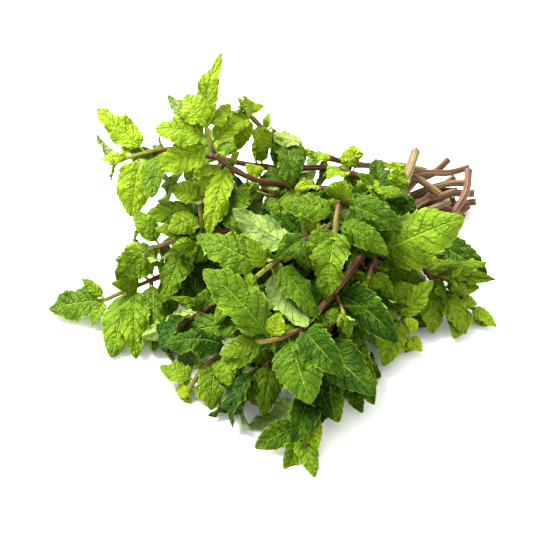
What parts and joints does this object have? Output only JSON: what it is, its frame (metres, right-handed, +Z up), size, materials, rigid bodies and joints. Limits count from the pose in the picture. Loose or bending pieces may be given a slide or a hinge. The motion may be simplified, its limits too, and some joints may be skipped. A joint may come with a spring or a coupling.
{
  "type": "bunch of fresh mint",
  "caption": "Loose bunch of cut mint sprigs lying on its side: square stems crossing at the cut ends, opposite pairs of toothed oval leaves, tips spread out like a fan.",
  "frame": {"origin": "on the table, under the middle of the bunch's bounding box", "axes": "+Z up; +X to the right and +Y away as the bunch is seen from the front; the cut ends point to +X +Y and the tips fan out to -X -Y"},
  "size_m": [0.2354, 0.227, 0.1085],
  "materials": {
    "mint_green": "matt fresh leaf, mid green above and paler below, on purple-brown to green stems"
  },
  "bodies": {
    "root": {"sprig_01_top": "mint_green", "sprig_02_upper_left": "mint_green", "sprig_03_front_right": "mint_green", "sprig_04_nodding": "mint_green", "sprig_05_centre": "mint_green", "sprig_06_middle": "mint_green", "sprig_07_bottom": "mint_green", "sprig_08_far_left": "mint_green", "sprig_09_left": "mint_green", "sprig_10_low_left": "mint_green", "sprig_11_hanging": "mint_green", "sprig_12_right": "mint_green", "sprig_13_low_right": "mint_green", "sprig_14_front_left": "mint_green", "sprig_15_low_centre": "mint_green", "sprig_16_back": "mint_green"}
  },
  "joints": []
}
